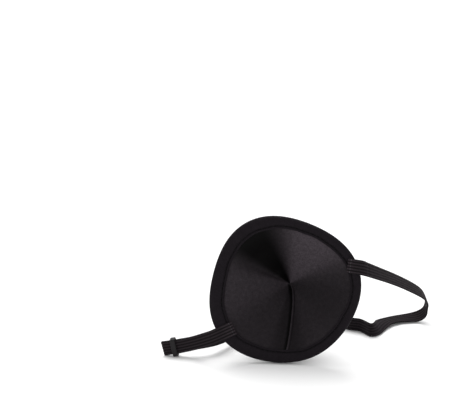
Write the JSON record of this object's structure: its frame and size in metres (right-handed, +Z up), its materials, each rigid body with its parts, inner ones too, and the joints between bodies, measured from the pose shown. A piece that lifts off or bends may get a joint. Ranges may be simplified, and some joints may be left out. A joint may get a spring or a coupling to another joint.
{
  "type": "eye patch",
  "caption": "Black concave foam-padded eye patch standing on its bound rim, with a satin-lined conical cup and an adjustable elastic strap.",
  "frame": {"origin": "on the ground under the middle of the cup and its bound rim, strap left out", "axes": "+Z up, -Y out of the cup's hollow side towards the wearer's face, +X towards the upper end of the strap"},
  "size_m": [0.1521, 0.078, 0.0797],
  "materials": {
    "satin_lining": "satin",
    "foam": "matte",
    "cover_fabric": "satin",
    "binding_tape": "matte",
    "thread": "satin",
    "elastic": "matte",
    "slide_plastic": "satin"
  },
  "bodies": {
    "patch": {"inner_lining": "satin_lining", "foam_pad": "foam", "outer_cover": "cover_fabric", "rim_binding": "binding_tape", "dart_seam": "satin_lining", "rim_stitching": "thread", "strap_end_upper": "elastic", "strap_end_lower": "elastic", "strap_tack_upper": "thread", "strap_tack_lower": "thread"},
    "strap": {"elastic_strap": "elastic"},
    "slide": {"strap_slide": "slide_plastic"}
  },
  "joints": [
    {"name": "strap_swing", "type": "hinge", "parent": "patch", "child": "strap", "pos_m": [-0.0387, -0.0144, 0.0139], "axis": [0.8975, 0.103, 0.4288], "range_deg": [0, 130]},
    {"name": "slide_adjust", "type": "slide", "parent": "strap", "child": "slide", "axis": [0.9767, -0.0465, 0.2093], "range_m": [-0.003, 0.004]}
  ]
}
